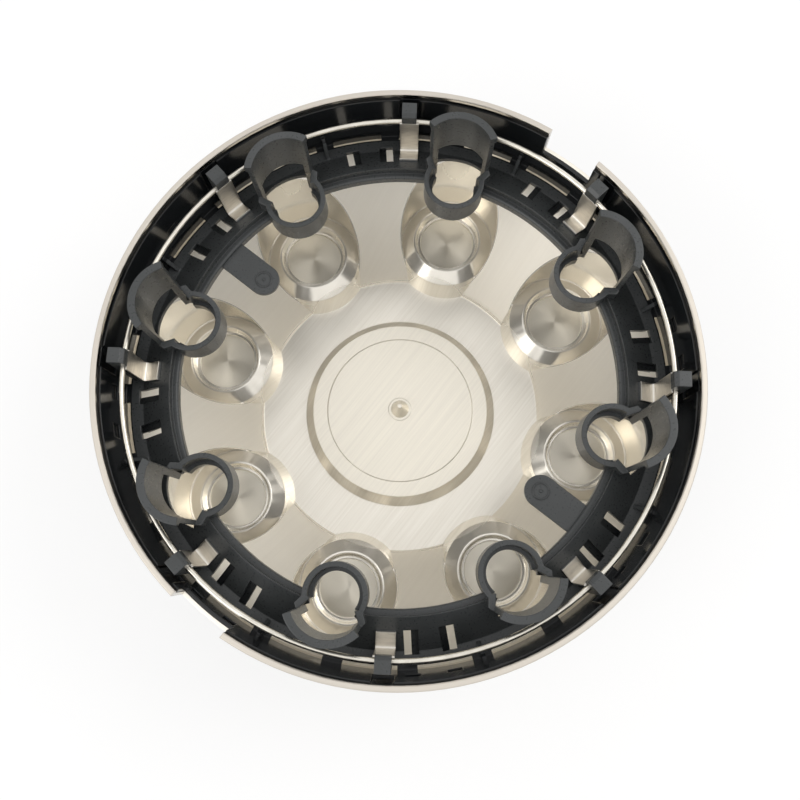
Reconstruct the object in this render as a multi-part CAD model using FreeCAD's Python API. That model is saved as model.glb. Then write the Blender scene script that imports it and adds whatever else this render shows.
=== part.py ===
import FreeCAD, Part
import math
import os

V = FreeCAD.Vector
UP = V(0, 0, 1)
NIL = V(0, 0, 0)

# Driving sizes in millimetres: the lug circle sets every radius outwards from it

lug_circle = 200.0
lug_count = 8
first_lug_angle = 29.5
fit = 0.3

# Bright cover
cover_wall = 2.5
disc_radius = 48.3
disc_rise = 7.5
step_run = 4.7
disc_pad_radius = 40.0
disc_pad_height = 0.4
nub_ring_radius = 6.3
nub_radius = 5.0
nub_tip_radius = 1.2
nub_height = 10.0
foot_inset = 23.0
seat_height = 71.9
seat_drop = 5.5
seat_width = 1.7
skirt_wall = 1.7
skirt_height = 36.1
rim_round = 0.4
rim_lip_height = 2.2
rim_lip_width = 0.9

# Lug pods of the cover
pod_radius = 28.4
pod_base_radius = 29.0
pod_crease_radius = 25.4
pod_crease_height = 14.5
pod_disc_radius = 15.2
pod_disc_height = 13.5
pod_ledge_rise = 1.5
pod_ledge_width = 1.4
pod_ring_radius = 18.0
pod_ring_width = 1.0
pod_ring_height = 19.5
pod_edge_break = 1.0

# Carrier ring
plate = 2.2
lip_offset = 5.4
lip_height = 8.4
lip_bead_drop = 4.2
lip_bead_width = 2.8
bead_wall = 2.4
cone_width = 15.5
cone_rise = 10.4
gutter_width = 8.2
wall = 1.5
rim_reveal = 3.5

# Sockets of the carrier, each round its own lug axis
socket_outer_radius = 14.4
socket_inner_radius = 12.0
socket_lip_radius = 10.2
socket_rise = 4.7
socket_lip_height = 5.0
cusp_radius = 10.8
cusp_angle = 68.0
cuff_inner_radius = 15.4
cuff_wall = 2.2
cuff_lip_width = 3.3
cuff_lip_height = 3.0
cuff_rise = 28.1
cuff_half_angle = 57.0
cuff_window_half_angle = 45.0
cuff_window_top = 5.8

# Wire, hooks and clips
wire_diameter = 2.4
wire_offset = 1.1
wire_rise = 24.7
hook_angle = 13.0
hook_width = 6.8
hook_rise = 9.0
hook_post = 2.4
hook_reach = 4.6
hook_nose = 1.6
clip_width = 9.0
clip_sheet = 0.8
clip_foot = 7.0
clip_bend = 1.0
clip_pad_height = 0.6

# Openings and ribs of the carrier
window_angles = (18.5, 26.5)
window_width = 6.5
window_inset = 9.4
window_past_crease = 1.7
wall_window_height = 7.0
wall_window_rise = 10.0
pocket_width = 9.4
pocket_height = 17.0
slot_width = 2.1
slot_sweep = 11.0
slots_per_bay = 3
rib_angle = 32.5
rib_wall = 1.8
rib_height = 9.0
tab_angle = 142.0
tab_reach = 20.2
tab_radius = 7.4
tab_thickness = 2.0
tab_mark_radius = 4.0
tab_mark_wall = 0.7
tab_mark_height = 0.5
notch_angle = 52.0
notch_width = 26.0
notch_depth = 16.0

# Sizes that follow from those above
lug_radius = lug_circle / 2
bay = 360.0 / lug_count
lip_radius = lug_radius + lip_offset
crease_radius = lip_radius + cone_width
wall_inner = crease_radius + gutter_width
wall_outer = wall_inner + wall
skirt_inner = wall_outer + fit
rim_radius = skirt_inner + skirt_wall
rim_inner = skirt_inner - rim_lip_width
rim_top = seat_height + skirt_height
gutter_top = seat_height + plate
lip_top = gutter_top + cone_rise
lip_bottom = lip_top - lip_height
wall_top = rim_top - rim_reveal
socket_top = lip_top + socket_rise
cuff_top = socket_top + cuff_rise
wire_radius = crease_radius + wire_offset
wire_height = gutter_top + wire_rise
hook_top = wire_height + hook_rise
lug_angles = [first_lug_angle + bay * k for k in range(lug_count)]


def turned(points, start=0.0, sweep=360.0):
    """Turns a closed outline of radius and height about the upright axis."""
    corners = [V(r, 0, z) for r, z in points]
    face = Part.Face(Part.makePolygon(corners + corners[:1]))
    face.rotate(NIL, UP, start)
    return face.revolve(NIL, UP, sweep)


def raised(points, bottom, top):
    """Raises a closed flat outline between two heights."""
    corners = [V(x, y, bottom) for x, y in points]
    return Part.Face(Part.makePolygon(corners + corners[:1])).extrude(V(0, 0, top - bottom))


def block(inner, outer, width, bottom, top):
    """A block on the X axis, centred across it."""
    return Part.makeBox(outer - inner, width, top - bottom, V(inner, -width / 2, bottom))


def at_angle(shape, angle):
    copy = shape.copy()
    copy.rotate(NIL, UP, angle)
    return copy


def at_lug(shape, angle):
    copy = shape.copy()
    copy.translate(V(lug_radius, 0, 0))
    copy.rotate(NIL, UP, angle)
    return copy


def on_arc(radius, angle):
    return radius * math.cos(math.radians(angle)), radius * math.sin(math.radians(angle))


def each_lug(shape):
    return [at_lug(shape, angle) for angle in lug_angles]


def each_bay(shape, offset):
    return [at_angle(shape, angle + offset) for angle in lug_angles]


# Bright cover: a thin dish between a front and a back surface
foot_radius = lug_radius - foot_inset
seat_inner = skirt_inner - seat_width
cone_top = seat_height - seat_drop
cone_slope = (cone_top - cover_wall) / (seat_inner - foot_radius)
foot_shift = cover_wall * math.tan(math.atan(cone_slope) / 2)
step_shift = cover_wall * math.tan(math.atan(disc_rise / step_run) / 2)
step_radius = disc_radius + step_run
disc_back = cover_wall + disc_rise
skirt_foot = (rim_radius - foot_radius - foot_shift) * cone_slope

front = turned([
    (0, disc_rise),
    (disc_radius - step_shift, disc_rise),
    (step_radius - step_shift, 0),
    (foot_radius + foot_shift, 0),
    (rim_radius, skirt_foot),
    (rim_radius, rim_top - rim_round),
    (rim_radius - rim_round, rim_top),
    (0, rim_top),
])
hollow = turned([
    (0, disc_back + disc_pad_height),
    (disc_pad_radius, disc_back + disc_pad_height),
    (disc_pad_radius + disc_pad_height, disc_back),
    (disc_radius, disc_back),
    (step_radius, cover_wall),
    (foot_radius, cover_wall),
    (seat_inner, cone_top),
    (seat_inner, seat_height),
    (skirt_inner, seat_height),
    (skirt_inner, rim_top - rim_lip_height - rim_lip_width),
    (rim_inner, rim_top - rim_lip_height),
    (rim_inner, rim_top - rim_round),
    (rim_inner + rim_round, rim_top),
    (rim_inner + rim_round, rim_top + fit),
    (0, rim_top + fit),
])

# Pods: the floor of each is turned about its lug axis
pod_well_radius = pod_radius - cover_wall
ledge_height = pod_disc_height + pod_ledge_rise
ring_outer = pod_ring_radius + pod_ring_width
floor_back = [
    (0, pod_disc_height),
    (pod_disc_radius, pod_disc_height),
    (pod_disc_radius, ledge_height),
    (pod_disc_radius + pod_ledge_width, ledge_height),
    (pod_ring_radius, pod_ring_height),
    (ring_outer, pod_ring_height),
    (pod_crease_radius, pod_crease_height),
]
shoulder_slope = (pod_ring_height - pod_crease_height) / (pod_crease_radius - ring_outer)
shoulder_drop = cover_wall * math.hypot(1, shoulder_slope)


def shoulder_front(radius):
    return pod_ring_height - (radius - ring_outer) * shoulder_slope - shoulder_drop


pocket_top_radius = pod_crease_radius - 0.85 * cover_wall
pocket_base_radius = pod_base_radius - cover_wall
floor_front = [
    (0, pod_disc_height - cover_wall),
    (pod_disc_radius + 0.7 * cover_wall, pod_disc_height - cover_wall),
    (ring_outer + 0.2 * cover_wall, shoulder_front(ring_outer + 0.2 * cover_wall)),
    (pocket_top_radius, shoulder_front(pocket_top_radius)),
]
pod_end = shoulder_front(pod_well_radius)
boss = turned(floor_front + [
    (pod_well_radius, pod_end),
    (pod_radius - pod_edge_break, pod_end),
    (pod_radius, pod_end + pod_edge_break),
    (pod_radius, cone_top),
    (0, cone_top),
])
plateau = turned(floor_back + [(pod_base_radius, cover_wall), (pod_base_radius, 0), (0, 0)])
well = turned(floor_back + [
    (pod_well_radius, pod_crease_height),
    (pod_well_radius, cone_top),
    (0, cone_top),
])
pocket = turned(floor_front + [(pocket_base_radius, 0), (pocket_base_radius, -fit), (0, -fit)])

nub = Part.makeCylinder(nub_ring_radius, disc_pad_height, V(0, 0, disc_back + disc_pad_height))
nub = nub.fuse(Part.makeCone(nub_radius, nub_tip_radius, nub_height, V(0, 0, disc_back + disc_pad_height)))
notches = [
    at_angle(block(wall_inner - wall, rim_radius + fit, notch_width, rim_top - notch_depth, rim_top + fit), a)
    for a in (notch_angle, notch_angle + 180)
]

cover = front.multiFuse(each_lug(boss))
cover = cover.cut(hollow.cut(each_lug(plateau)))
cover = cover.cut(each_lug(well) + each_lug(pocket))
cover = cover.fuse(nub).cut(notches).removeSplitter()

# Carrier ring: one turned tray with a lipped inner edge
cone_fall = cone_rise / cone_width
plate_drop = plate * math.hypot(1, cone_fall)
bead_top = lip_top - lip_bead_drop
bead_inner = lip_radius - lip_bead_width
bead_outer = bead_inner + bead_wall
under_start = lip_radius + wall
under_end = lip_radius + (lip_top - plate_drop - seat_height) / cone_fall
ring = turned([
    (lip_radius, lip_top),
    (crease_radius, gutter_top),
    (wall_inner, gutter_top),
    (wall_inner, wall_top),
    (wall_outer, wall_top),
    (wall_outer, seat_height),
    (under_end, seat_height),
    (under_start, lip_top - plate_drop - wall * cone_fall),
    (bead_outer, lip_bottom + plate),
    (bead_outer, lip_bottom),
    (bead_inner, lip_bottom),
    (bead_inner, bead_top - wall / 2),
    (bead_inner + wall / 2, bead_top),
    (lip_radius, bead_top),
])

# One socket about its lug axis, outwards along X
small_sweep = 360 - 2 * cusp_angle
small_arc = turned([
    (socket_lip_radius, lip_bottom),
    (socket_outer_radius, lip_bottom),
    (socket_outer_radius, socket_top),
    (socket_inner_radius, socket_top),
    (socket_inner_radius, lip_bottom + socket_lip_height),
    (socket_lip_radius, lip_bottom + socket_lip_height),
], cusp_angle, small_sweep)
cuff_outer = cuff_inner_radius + cuff_wall
cuff_lip_radius = cuff_inner_radius + cuff_lip_width
cuff = turned([
    (cuff_inner_radius, seat_height),
    (cuff_outer, seat_height),
    (cuff_outer, cuff_top - cuff_lip_height - cuff_lip_width + cuff_wall),
    (cuff_lip_radius, cuff_top - cuff_lip_height),
    (cuff_lip_radius, cuff_top),
    (cuff_inner_radius, cuff_top),
], -cuff_half_angle, 2 * cuff_half_angle)


def shoulder(side):
    return raised([
        on_arc(cusp_radius, side * cusp_angle),
        on_arc(cuff_inner_radius, side * cuff_half_angle),
        on_arc(cuff_outer, side * cuff_half_angle),
        on_arc(cuff_outer, side * (cuff_half_angle + 8)),
        on_arc(socket_outer_radius, side * (cusp_angle + 6)),
        on_arc(socket_inner_radius, side * (cusp_angle + 6)),
    ], lip_bottom, socket_top)


socket = small_arc.multiFuse([cuff, shoulder(1), shoulder(-1)])
clear_top = cuff_top + fit
clear_bottom = seat_height - fit
small_bore = turned([
    (0, clear_bottom),
    (socket_inner_radius, clear_bottom),
    (socket_inner_radius, clear_top),
    (0, clear_top),
])
big_bore = turned([
    (0, clear_bottom),
    (cuff_inner_radius, clear_bottom),
    (cuff_inner_radius, clear_top),
    (0, clear_top),
], -cuff_half_angle, 2 * cuff_half_angle)
cuff_window = turned([
    (0, clear_bottom),
    (cuff_outer + wall, clear_bottom),
    (cuff_outer + wall, socket_top + cuff_window_top),
    (0, socket_top + cuff_window_top),
], -cuff_window_half_angle, 2 * cuff_window_half_angle)

# Hook over the wire, standing in the gutter
post_inner = wire_radius + wire_diameter / 2 + fit
post_outer = post_inner + hook_post
hook_under = wire_height + wire_diameter / 2 + fit
hook_end = post_inner - hook_reach
hook = Part.Face(Part.makePolygon([
    V(post_inner, 0, gutter_top - plate / 2),
    V(post_outer, 0, gutter_top - plate / 2),
    V(post_outer, 0, hook_top),
    V(hook_end + hook_nose, 0, hook_top),
    V(hook_end, 0, hook_top - hook_nose),
    V(hook_end, 0, hook_under + hook_nose),
    V(hook_end + hook_nose, 0, hook_under),
    V(post_inner, 0, hook_under),
    V(post_inner, 0, gutter_top - plate / 2),
])).extrude(V(0, hook_width, 0))
hook.translate(V(0, -hook_width / 2, 0))

# Clip strip: a foot along the fall of the cone, a bend and a riser inside the wire
riser_outer = wire_radius - wire_diameter / 2 - fit
riser_top = wire_height + wire_diameter / 2
fall_angle = math.degrees(math.atan(cone_fall))
lift = V(math.sin(math.atan(cone_fall)), 0, math.cos(math.atan(cone_fall)))
along = V(lift.z, 0, -lift.x)
outwards = V(1, 0, 0)
bend_outer = clip_bend + clip_sheet
bend_x = riser_outer - bend_outer
foot_lift = clip_pad_height + bend_outer
bend_centre = V(bend_x, 0, lip_top + (foot_lift - (bend_x - lip_radius) * lift.x) / lift.z)
bend_middle = (outwards - lift).normalize()
foot_point = bend_centre - lift * bend_outer


def strip_side(radius):
    """One face of the bent strip, from the end of its foot up to its top."""
    foot_tangent = bend_centre - lift * radius
    riser_foot = bend_centre + outwards * radius
    foot_end = foot_tangent - along * clip_foot
    riser_end = V(riser_foot.x, 0, riser_top)
    turn = Part.Arc(foot_tangent, bend_centre + bend_middle * radius, riser_foot)
    return foot_end, riser_end, [
        Part.makeLine(foot_end, foot_tangent), turn.toShape(), Part.makeLine(riser_foot, riser_end)]


low_foot, low_top, low_edges = strip_side(bend_outer)
high_foot, high_top, high_edges = strip_side(clip_bend)
strip_ends = [Part.makeLine(low_foot, high_foot), Part.makeLine(low_top, high_top)]
outline = Part.Wire(Part.__sortEdges__(low_edges + high_edges + strip_ends))
clip = Part.Face(outline).extrude(V(0, clip_width, 0))
clip.translate(V(0, -clip_width / 2, 0))

# Flat pad under the foot of the clip
pad_depth = clip_pad_height + plate / 2
pad = Part.makeBox(clip_foot, clip_width, pad_depth, V(-clip_foot, -clip_width / 2, -pad_depth))
pad.rotate(NIL, V(0, 1, 0), fall_angle)
pad.translate(foot_point)

rib = Part.Face(Part.makePolygon([
    V(crease_radius, 0, gutter_top - plate / 2),
    V(wall_inner + wall / 2, 0, gutter_top - plate / 2),
    V(wall_inner + wall / 2, 0, gutter_top + rib_height),
    V(wall_inner - wall, 0, gutter_top + rib_height),
    V(crease_radius, 0, gutter_top - plate / 2),
])).extrude(V(0, rib_wall, 0))
rib.translate(V(0, -rib_wall / 2, 0))

tab_end = bead_inner - tab_reach
tab = block(tab_end, bead_inner + wall, 2 * tab_radius, lip_bottom, lip_bottom + tab_thickness)
tab = tab.fuse(Part.makeCylinder(tab_radius, tab_thickness, V(tab_end, 0, lip_bottom)))
tab_top = lip_bottom + tab_thickness
mark = Part.makeCylinder(tab_mark_radius, tab_mark_height, V(tab_end, 0, tab_top))
mark = mark.cut(Part.makeCylinder(tab_mark_radius - tab_mark_wall, tab_mark_height, V(tab_end, 0, tab_top)))
mark = mark.fuse(Part.makeCylinder(tab_mark_wall, tab_mark_height, V(tab_end, 0, tab_top)))
tab = tab.fuse(mark)

window = block(crease_radius - window_inset, crease_radius + window_past_crease, window_width,
               clear_bottom, lip_top)
wall_window = block(wall_inner - wall, wall_outer + fit, window_width,
                    gutter_top + wall_window_rise, gutter_top + wall_window_rise + wall_window_height)
hook_pocket = block(wall_inner - wall, wall_outer + fit, pocket_width,
                    wall_top - pocket_height, wall_top + fit)
slot_outer = wall_inner
slot_pitch = bay / slots_per_bay
slot = turned([
    (slot_outer - slot_width, clear_bottom),
    (slot_outer, clear_bottom),
    (slot_outer, gutter_top + fit),
    (slot_outer - slot_width, gutter_top + fit),
], -slot_sweep / 2, slot_sweep)

openings = each_lug(small_bore) + each_lug(big_bore) + each_lug(cuff_window)
for angle in window_angles:
    openings += each_bay(window, angle) + each_bay(wall_window, angle)
openings += each_bay(hook_pocket, hook_angle)
for k in range(slots_per_bay):
    openings += each_bay(slot, rib_angle + slot_pitch * (k + 0.5))

carrier = ring.cut(openings)
cuffs = each_lug(socket.cut(cuff_window))
additions = cuffs + each_bay(hook, hook_angle) + each_bay(pad, hook_angle) + each_bay(rib, rib_angle)
additions += [at_angle(tab, tab_angle), at_angle(tab, tab_angle + 180)]
carrier = carrier.multiFuse(additions).cut(notches).removeSplitter()

# Wire ring
wire_ring = Part.makeTorus(wire_radius, wire_diameter / 2, V(0, 0, wire_height))

os.makedirs("parts", exist_ok=True)
cover.exportStep("parts/chrome_cover.step")
carrier.exportStep("parts/carrier_ring.step")
wire_ring.exportStep("parts/wire_ring.step")
for number, angle in enumerate(lug_angles, 1):
    at_angle(clip, angle + hook_angle).exportStep("parts/retaining_clip_%d.step" % number)
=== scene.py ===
import bpy
import bmesh
import math
from mathutils import Matrix, Vector


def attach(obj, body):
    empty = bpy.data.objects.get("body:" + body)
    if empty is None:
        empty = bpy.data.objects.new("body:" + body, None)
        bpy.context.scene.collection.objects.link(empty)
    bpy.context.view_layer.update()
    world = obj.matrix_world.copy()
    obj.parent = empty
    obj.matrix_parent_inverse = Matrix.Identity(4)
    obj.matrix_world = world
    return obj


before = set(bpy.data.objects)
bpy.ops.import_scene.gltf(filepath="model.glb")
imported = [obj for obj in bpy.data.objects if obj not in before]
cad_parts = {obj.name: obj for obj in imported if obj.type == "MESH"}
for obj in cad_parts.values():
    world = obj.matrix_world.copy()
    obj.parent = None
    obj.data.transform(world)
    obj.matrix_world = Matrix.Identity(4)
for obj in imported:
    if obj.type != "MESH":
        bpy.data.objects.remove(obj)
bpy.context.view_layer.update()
print("frame loaded:", len(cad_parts), "nodes")

scene = bpy.context.scene
scene.view_settings.view_transform = "Standard"

# lengths are in metres and angles in degrees

lugCircle = {
    "count": 8,
    "first": 29.5,
    "radius": 0.1,
}


# small helpers for node materials

bevelSamples = 6


def newMaterial(name):
    material = bpy.data.materials.new(name)
    material.use_nodes = True
    tree = material.node_tree
    return material, tree, tree.nodes["Principled BSDF"]


def addNode(tree, kind, **settings):
    node = tree.nodes.new(kind)
    for key, value in settings.items():
        setattr(node, key, value)
    return node


def feed(tree, value, socket):
    if isinstance(value, bpy.types.NodeSocket):
        tree.links.new(value, socket)
    else:
        socket.default_value = value


def mathNode(tree, operation, first, second=None, clamp=False):
    node = addNode(tree, "ShaderNodeMath", operation=operation, use_clamp=clamp)
    feed(tree, first, node.inputs[0])
    if second is not None:
        feed(tree, second, node.inputs[1])
    return node.outputs[0]


def multiply(tree, first, second):
    return mathNode(tree, "MULTIPLY", first, second)


def mixNode(tree, kind, amount, first, second):
    node = addNode(tree, "ShaderNodeMix", data_type=kind)
    tree.links.new(amount, node.inputs["Factor"])
    start, end = [socket for socket in node.inputs if socket.type == kind][-2:]
    feed(tree, first, start)
    feed(tree, second, end)
    return [socket for socket in node.outputs if socket.type == kind][0]


def mixColour(tree, amount, first, second):
    colours = [(*value, 1) if isinstance(value, tuple) else value for value in (first, second)]
    return mixNode(tree, "RGBA", amount, *colours)


def remap(tree, value, band, result):
    node = addNode(tree, "ShaderNodeMapRange", clamp=True)
    tree.links.new(value, node.inputs["Value"])
    for name, number in zip(("From Min", "From Max", "To Min", "To Max"), (*band, *result)):
        node.inputs[name].default_value = number
    return node.outputs[0]


def fadeIn(tree, value, start, width):
    return remap(tree, value, (start, start + width), (0, 1))


def fadeOut(tree, value, start, width):
    return remap(tree, value, (start, start + width), (1, 0))


# the point turns before it is stretched, so that streaks follow the turned axes
def objectPoint(tree, scale=(1, 1, 1), turn=0.0):
    coords = addNode(tree, "ShaderNodeTexCoord")
    turned = addNode(tree, "ShaderNodeMapping")
    turned.inputs["Rotation"].default_value = (0, 0, math.radians(turn))
    tree.links.new(coords.outputs["Object"], turned.inputs["Vector"])
    scaled = addNode(tree, "ShaderNodeMapping")
    scaled.inputs["Scale"].default_value = scale
    tree.links.new(turned.outputs[0], scaled.inputs["Vector"])
    return scaled.outputs[0]


# a noise's kind is its scale, detail and roughness
def noise(tree, point, kind):
    node = addNode(tree, "ShaderNodeTexNoise")
    for name, number in zip(("Scale", "Detail", "Roughness"), kind):
        node.inputs[name].default_value = number
    tree.links.new(point, node.inputs["Vector"])
    return node.outputs["Fac"]


def splitAxes(tree, source):
    coords = addNode(tree, "ShaderNodeTexCoord")
    split = addNode(tree, "ShaderNodeSeparateXYZ")
    tree.links.new(coords.outputs[source], split.inputs[0])
    return tuple(split.outputs)


def flatLength(tree, x, y):
    flat = addNode(tree, "ShaderNodeCombineXYZ")
    tree.links.new(x, flat.inputs["X"])
    tree.links.new(y, flat.inputs["Y"])
    length = addNode(tree, "ShaderNodeVectorMath", operation="LENGTH")
    tree.links.new(flat.outputs[0], length.inputs[0])
    return length.outputs["Value"]


def addBump(tree, shader, height, finish):
    soft = addNode(tree, "ShaderNodeBevel", samples=bevelSamples)
    soft.inputs["Radius"].default_value = finish["edge"]
    bump = addNode(tree, "ShaderNodeBump")
    bump.inputs["Strength"].default_value = finish["bumpStrength"]
    bump.inputs["Distance"].default_value = finish["bumpDepth"]
    tree.links.new(soft.outputs[0], bump.inputs["Normal"])
    tree.links.new(height, bump.inputs["Height"])
    tree.links.new(bump.outputs[0], shader.inputs["Normal"])


# bright plated cover

coverFinish = {
    "warm": (0.95, 0.905, 0.815),
    "cream": (0.90, 0.845, 0.72),
    "creamShare": 0.7,
    "grey": (0.80, 0.75, 0.655),
    "greyShare": 0.75,
    "podTone": (0.84, 0.785, 0.665),
    "podShare": 0.8,
    # painted shade: faces turned sideways or down, outside the pod wells, take this darker grey
    "front": (0.68, 0.65, 0.60),
    # painted shade: the top of the outer lip takes this darker tone, which dims its reflection
    "rim": (0.62, 0.575, 0.51),
    "rimRadius": 0.1296,
    "rimFade": 0.0006,
    "rimHeight": 0.1042,
    "topFade": 0.0012,
    "discRadius": 0.0483,
    "discFade": 0.0015,
    "footRadius": 0.077,
    "ringFade": 0.001,
    "brushFade": 0.002,
    "panelFade": 0.003,
    "podDisc": 0.0152,
    "podFade": 0.0002,
    "wellRadius": 0.0262,
    "wellFade": 0.0006,
    "backFacing": (0.05, 0.2),
    "brushTurn": 38.0,
    "brushStretch": (900, 14, 14),
    "brush": (1.0, 4.0, 0.65),
    "coneBrush": 0.3,
    "cloud": (22.0, 2.0, 0.5),
    "noiseBand": (0.3, 0.7),
    "metal": 0.72,
    "smooth": (0.14, 0.19),
    "streakRough": (0.7, 1.2),
    "brushed": 0.20,
    "turned": 0.16,
    "ringSatin": 0.14,
    "panelSatin": 0.30,
    "flatGrain": 0.5,
    "podGrain": 0.88,
    "bumpStrength": 0.04,
    "bumpDepth": 0.0002,
    "edge": 0.0006,
}


# distance from the nearest lug axis, and the direction round it
def lugOffset(tree, x, y):
    bay = 2 * math.pi / lugCircle["count"]
    first = math.radians(lugCircle["first"])
    angle = mathNode(tree, "ARCTAN2", y, x)
    step = mathNode(tree, "DIVIDE", mathNode(tree, "SUBTRACT", angle, first), bay)
    whole = mathNode(tree, "ROUND", step)
    nearest = mathNode(tree, "ADD", multiply(tree, whole, bay), first)
    lugX = multiply(tree, mathNode(tree, "COSINE", nearest), lugCircle["radius"])
    lugY = multiply(tree, mathNode(tree, "SINE", nearest), lugCircle["radius"])
    away = mathNode(tree, "SUBTRACT", x, lugX)
    across = mathNode(tree, "SUBTRACT", y, lugY)
    around = addNode(tree, "ShaderNodeCombineXYZ")
    tree.links.new(multiply(tree, across, -1.0), around.inputs["X"])
    tree.links.new(away, around.inputs["Y"])
    return flatLength(tree, away, across), around.outputs[0]


def plateAreas(tree):
    finish = coverFinish
    x, y, height = splitAxes(tree, "Object")
    radius = flatLength(tree, x, y)
    podRadius, podAround = lugOffset(tree, x, y)
    foot = finish["footRadius"]
    inDisc = fadeOut(tree, radius, finish["discRadius"], finish["discFade"])
    inWell = fadeOut(tree, podRadius, finish["wellRadius"], finish["wellFade"])
    inFoot = fadeOut(tree, radius, foot, finish["ringFade"])
    pastFoot = fadeIn(tree, radius, foot, finish["panelFade"])
    onRim = fadeIn(tree, radius, finish["rimRadius"], finish["rimFade"])
    onTop = fadeIn(tree, height, finish["rimHeight"], finish["topFade"])
    facingBack = remap(tree, splitAxes(tree, "Normal")[2], finish["backFacing"], (0, 1))
    areas = {
        "disc": inDisc,
        "pod": fadeOut(tree, podRadius, finish["podDisc"], finish["podFade"]),
        "ring": mathNode(tree, "SUBTRACT", inFoot, inDisc, clamp=True),
        "panel": multiply(tree, pastFoot, mathNode(tree, "SUBTRACT", facingBack, inWell, clamp=True)),
        # lip marks the top of the outer lip, where the darker tone is painted shade
        "lip": multiply(tree, onRim, onTop),
        "back": mathNode(tree, "MAXIMUM", facingBack, inWell),
        "brushed": remap(tree, radius, (foot, foot + finish["brushFade"]), (1, finish["coneBrush"])),
    }
    return areas, podAround


def plateColour(tree, areas, brush):
    finish = coverFinish
    creamHere = multiply(tree, areas["disc"], finish["creamShare"])
    podHere = multiply(tree, areas["pod"], finish["podShare"])
    streak = remap(tree, brush, finish["noiseBand"], (finish["greyShare"], 0))
    greyHere = multiply(tree, streak, areas["brushed"])
    colour = mixColour(tree, creamHere, finish["warm"], finish["cream"])
    colour = mixColour(tree, podHere, colour, finish["podTone"])
    colour = mixColour(tree, greyHere, colour, finish["grey"])
    # painted shade: faces not turned upwards take the darker front grey
    colour = mixColour(tree, areas["back"], finish["front"], colour)
    # painted shade on the lip top
    return mixColour(tree, areas["lip"], colour, finish["rim"])


def plateRoughness(tree, areas, brush):
    finish = coverFinish
    cloud = noise(tree, objectPoint(tree), finish["cloud"])
    streak = remap(tree, brush, finish["noiseBand"], finish["streakRough"])
    added = (
        (multiply(tree, areas["disc"], streak), finish["brushed"]),
        (areas["pod"], finish["turned"]),
        (areas["ring"], finish["ringSatin"]),
        (areas["panel"], finish["panelSatin"]),
    )
    rough = remap(tree, cloud, finish["noiseBand"], finish["smooth"])
    for area, amount in added:
        rough = mathNode(tree, "ADD", rough, multiply(tree, area, amount))
    return rough


def plateMaterial():
    finish = coverFinish
    material, tree, shader = newMaterial("brightPlate")
    areas, podAround = plateAreas(tree)
    brushPoint = objectPoint(tree, finish["brushStretch"], finish["brushTurn"])
    brush = noise(tree, brushPoint, finish["brush"])
    turn = math.radians(finish["brushTurn"])
    alongBrush = (math.sin(turn), math.cos(turn), 0)
    tangent = mixNode(tree, "VECTOR", areas["pod"], alongBrush, podAround)
    anisotropy = remap(tree, areas["pod"], (0, 1), (finish["flatGrain"], finish["podGrain"]))
    metal = remap(tree, areas["back"], (0, 1), (1, finish["metal"]))
    grooves = multiply(tree, brush, multiply(tree, areas["brushed"], areas["back"]))
    tree.links.new(plateColour(tree, areas, brush), shader.inputs["Base Color"])
    tree.links.new(metal, shader.inputs["Metallic"])
    tree.links.new(plateRoughness(tree, areas, brush), shader.inputs["Roughness"])
    tree.links.new(tangent, shader.inputs["Tangent"])
    tree.links.new(anisotropy, shader.inputs["Anisotropic"])
    addBump(tree, shader, grooves, finish)
    return material


# black moulded carrier

carrierFinish = {
    "satinBlack": (0.036, 0.039, 0.039),
    "satinGrey": (0.048, 0.051, 0.052),
    # deepBlack is painted shade: it darkens the gutter, the outer wall and the shade sheets
    "deepBlack": (0.007, 0.008, 0.009),
    "satin": (0.25, 0.36),
    "glossDrop": 0.16,
    "gutterRadius": 0.1262,
    "hookRadius": 0.1275,
    "wallFade": 0.0004,
    "hookHeight": 0.092,
    "hookFade": 0.0006,
    "grain": (900.0, 3.0, 0.6),
    "grainBand": (0.3, 0.7),
    "flow": (45.0, 3.0, 0.5),
    "flowBand": (0.35, 0.7),
    "bumpStrength": 0.04,
    "bumpDepth": 0.00005,
    "edge": 0.0007,
}


def mouldedMaterial(name, dark, light):
    finish = carrierFinish
    material, tree, shader = newMaterial(name)
    x, y, height = splitAxes(tree, "Object")
    radius = flatLength(tree, x, y)
    grain = noise(tree, objectPoint(tree), finish["grain"])
    flow = noise(tree, objectPoint(tree), finish["flow"])
    outside = fadeIn(tree, radius, finish["gutterRadius"], finish["wallFade"])
    nearHook = fadeOut(tree, radius, finish["hookRadius"], finish["wallFade"])
    hookTop = fadeIn(tree, height, finish["hookHeight"], finish["hookFade"])
    onHook = multiply(tree, nearHook, hookTop)
    # outward of the gutter radius, apart from the hook tops, the plastic is glossier (real finish) and
    # its colour is a deeper black (painted shade)
    glossAndShade = mathNode(tree, "SUBTRACT", outside, onHook, clamp=True)
    colour = mixColour(tree, remap(tree, flow, finish["flowBand"], (0, 1)), dark, light)
    colour = mixColour(tree, glossAndShade, colour, finish["deepBlack"])
    tree.links.new(colour, shader.inputs["Base Color"])
    satin = remap(tree, grain, finish["grainBand"], finish["satin"])
    drop = multiply(tree, glossAndShade, finish["glossDrop"])
    tree.links.new(mathNode(tree, "SUBTRACT", satin, drop, clamp=True), shader.inputs["Roughness"])
    addBump(tree, shader, grain, finish)
    return material


# drawn steel wire and bent strip

steelFinish = {
    "streakStretch": (1, 1, 6),
    "streak": (160.0, 4.0, 0.6),
    "streakBand": (0.35, 0.7),
    "spots": (60.0, 2.0, 0.5),
    "spotBand": (0.3, 0.7),
    "bumpStrength": 0.08,
    "bumpDepth": 0.0001,
    "edge": 0.0003,
}

wireSteel = {
    "bright": (0.84, 0.80, 0.71),
    "shade": (0.68, 0.645, 0.57),
    "rough": (0.22, 0.34),
}

clipSteel = {
    "bright": (0.82, 0.78, 0.71),
    "shade": (0.66, 0.63, 0.575),
    "rough": (0.28, 0.42),
}


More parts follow.
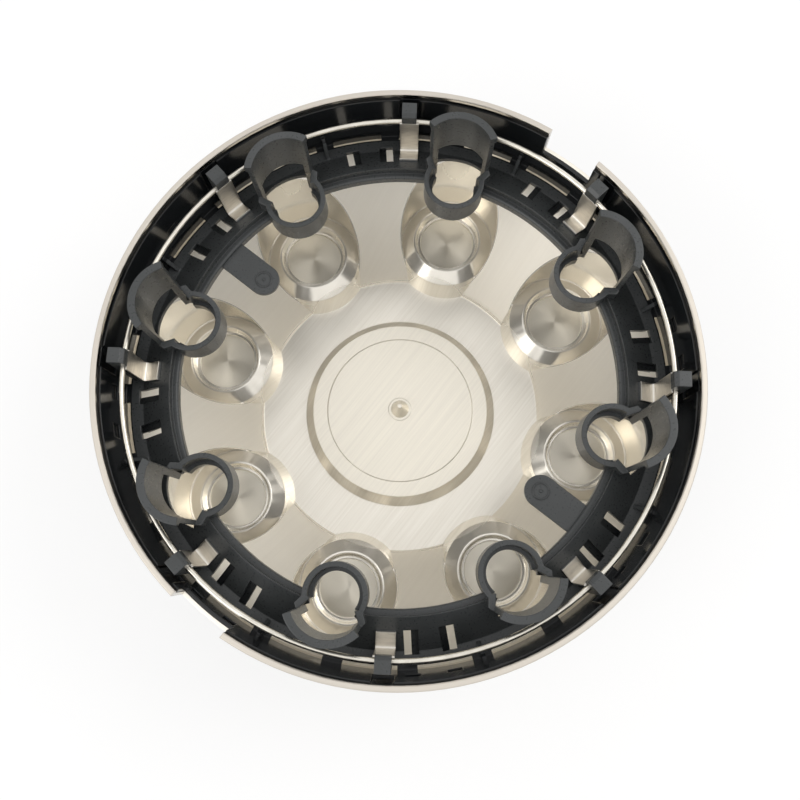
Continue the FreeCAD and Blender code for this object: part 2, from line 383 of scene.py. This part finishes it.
def steelMaterial(name, steel):
    finish = steelFinish
    material, tree, shader = newMaterial(name)
    streak = noise(tree, objectPoint(tree, finish["streakStretch"]), finish["streak"])
    spots = noise(tree, objectPoint(tree), finish["spots"])
    shaded = remap(tree, streak, finish["streakBand"], (0, 1))
    tree.links.new(mixColour(tree, shaded, steel["bright"], steel["shade"]), shader.inputs["Base Color"])
    tree.links.new(remap(tree, spots, finish["spotBand"], steel["rough"]), shader.inputs["Roughness"])
    shader.inputs["Metallic"].default_value = 1.0
    addBump(tree, shader, streak, finish)
    return material


# the solids take their finishes

def dress(nodeName, material):
    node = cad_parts[nodeName]
    node.data.materials.clear()
    node.data.materials.append(material)


satinPlastic = mouldedMaterial("mouldedBlack", carrierFinish["satinBlack"], carrierFinish["satinGrey"])
springStrip = steelMaterial("springStrip", clipSteel)
dress("chrome_cover", plateMaterial())
dress("carrier_ring", satinPlastic)
dress("wire_ring", steelMaterial("drawnWire", wireSteel))
for number in range(1, lugCircle["count"] + 1):
    dress("retaining_clip_%d" % number, springStrip)
print("pieces dressed")


# painted shade: thin deep black sheets behind half of each ring window, the wall windows and the hook
# pockets, standing in for the shade inside them

# under is points of radius and height, wallFace is two radii,
# and a window or pocket of the wall is its half width, foot and head
shadeSheet = {
    "under": ((0.1109, 0.07814), (0.12022, 0.07188), (0.1232, 0.07188)),
    "thick": 0.0012,
    "halfWindow": (0.00005, 0.0047),
    "windowAngles": (18.5, 26.5),
    "wallFace": (0.1299, 0.1304),
    "wallWindow": (0.00323, 0.0866, 0.09108),
    "hookPocket": (0.00468, 0.08752, 0.1044),
    "hookAngle": 13.0,
}


def addShadeSheet(shape, outline, near, far, angle):
    made = [shape.verts.new((radius, near, height)) for radius, height in outline]
    face = bmesh.ops.contextual_create(shape, geom=made)["faces"]
    grown = bmesh.ops.extrude_face_region(shape, geom=face, use_keep_orig=True)["geom"]
    moved = [item for item in grown if isinstance(item, bmesh.types.BMVert)]
    bmesh.ops.translate(shape, vec=(0, far - near, 0), verts=moved)
    turn = Matrix.Rotation(angle, 3, "Z")
    bmesh.ops.rotate(shape, cent=(0, 0, 0), matrix=turn, verts=made + moved)


def addWallShadeSheet(shape, opening, angle):
    half, foot, head = opening
    inner, outer = shadeSheet["wallFace"]
    outline = [(inner, foot), (outer, foot), (outer, head), (inner, head)]
    addShadeSheet(shape, outline, -half, half, angle)


def buildShadeSheets(material):
    shape = bmesh.new()
    top = list(shadeSheet["under"])
    strip = top + [(radius, height - shadeSheet["thick"]) for radius, height in reversed(top)]
    inside, outside = shadeSheet["halfWindow"]
    for bay in range(lugCircle["count"]):
        start = lugCircle["first"] + 360 / lugCircle["count"] * bay
        first, second = [math.radians(start + angle) for angle in shadeSheet["windowAngles"]]
        addShadeSheet(shape, strip, inside, outside, first)
        addShadeSheet(shape, strip, -outside, -inside, second)
        for angle in (first, second):
            addWallShadeSheet(shape, shadeSheet["wallWindow"], angle)
        addWallShadeSheet(shape, shadeSheet["hookPocket"], math.radians(start + shadeSheet["hookAngle"]))
    bmesh.ops.recalc_face_normals(shape, faces=shape.faces)
    mesh = bpy.data.meshes.new("shadeSheets")
    shape.to_mesh(mesh)
    shape.free()
    mesh.materials.append(material)
    piece = bpy.data.objects.new("shadeSheets", mesh)
    scene.collection.objects.link(piece)
    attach(piece, "root")


# the sheets take the deep black shadeBlack finish, which is painted shade
buildShadeSheets(mouldedMaterial("shadeBlack", carrierFinish["deepBlack"], carrierFinish["satinBlack"]))
print("painted shade sheets built")


# floor, light and camera

studio = {
    "floorSize": 8.0,
    "floorTone": (0.84, 0.84, 0.84, 1),
    "floorRough": 0.9,
    "glowBand": (0.22, 0.9),
    "glow": (0.55, 1.0),
    "key": {"place": (1.0, 0.35, 1.1), "size": 0.8, "power": 5.0},
    "fill": {"place": (-0.95, -0.55, 1.0), "size": 0.8, "power": 4.0},
    "lampTone": (1.0, 0.985, 0.96),
    "lampAim": (0, 0, 0.05),
    "sky": 1.0,
}


# the floor glows to white away from the cap, and keeps its shadow near it
def floorMaterial():
    material, tree, shader = newMaterial("paleFloor")
    shader.inputs["Base Color"].default_value = studio["floorTone"]
    shader.inputs["Roughness"].default_value = studio["floorRough"]
    glow = addNode(tree, "ShaderNodeEmission")
    glow.inputs["Color"].default_value = (1, 1, 1, 1)
    light = addNode(tree, "ShaderNodeLightPath")
    seen = mathNode(tree, "MAXIMUM", light.outputs["Is Camera Ray"], light.outputs["Is Glossy Ray"])
    seen = mathNode(tree, "MAXIMUM", seen, light.outputs["Is Transmission Ray"])
    distance = flatLength(tree, *splitAxes(tree, "Object")[:2])
    amount = multiply(tree, seen, remap(tree, distance, studio["glowBand"], studio["glow"]))
    mix = addNode(tree, "ShaderNodeMixShader")
    tree.links.new(amount, mix.inputs[0])
    tree.links.new(shader.outputs[0], mix.inputs[1])
    tree.links.new(glow.outputs[0], mix.inputs[2])
    tree.links.new(mix.outputs[0], tree.nodes["Material Output"].inputs["Surface"])
    return material


def buildFloor():
    shape = bmesh.new()
    bmesh.ops.create_grid(shape, x_segments=1, y_segments=1, size=studio["floorSize"] / 2)
    mesh = bpy.data.meshes.new("studioFloor")
    shape.to_mesh(mesh)
    shape.free()
    mesh.materials.append(floorMaterial())
    floor = bpy.data.objects.new("studioFloor", mesh)
    scene.collection.objects.link(floor)


def buildLamp(name, values):
    lamp = bpy.data.lights.new(name, "AREA")
    lamp.shape = "DISK"
    lamp.size = values["size"]
    lamp.energy = values["power"]
    lamp.color = studio["lampTone"]
    holder = bpy.data.objects.new(name, lamp)
    holder.location = values["place"]
    aim = Vector(studio["lampAim"]) - holder.location
    holder.rotation_euler = aim.to_track_quat("-Z", "Y").to_euler()
    scene.collection.objects.link(holder)


def buildSky():
    world = bpy.data.worlds.new("studioSky")
    scene.world = world
    world.use_nodes = True
    back = world.node_tree.nodes["Background"]
    back.inputs["Color"].default_value = (1, 1, 1, 1)
    back.inputs["Strength"].default_value = studio["sky"]


view = {
    "place": (0.0054, -0.0789, 0.4223),
    "lean": 11.57,
    "swing": -3.63,
    "lens": 33.93,
    "sensor": 36.0,
    "clipStart": 0.01,
}


def buildCamera():
    lean, swing = math.radians(view["lean"]), math.radians(view["swing"])
    sideways = math.sin(lean)
    ahead = Vector((sideways * math.sin(swing), sideways * math.cos(swing), -math.cos(lean)))
    right = (Vector((1, 0, 0)) - ahead * ahead.x).normalized()
    up = right.cross(ahead)
    camera = bpy.data.cameras.new("photoCamera")
    camera.lens = view["lens"]
    camera.sensor_width = view["sensor"]
    camera.clip_start = view["clipStart"]
    holder = bpy.data.objects.new("photoCamera", camera)
    turn = Matrix((right, up, -ahead)).transposed().to_4x4()
    holder.matrix_world = Matrix.Translation(view["place"]) @ turn
    scene.collection.objects.link(holder)
    scene.camera = holder


buildFloor()
buildLamp("keyLamp", studio["key"])
buildLamp("fillLamp", studio["fill"])
buildSky()
buildCamera()
print("studio ready")
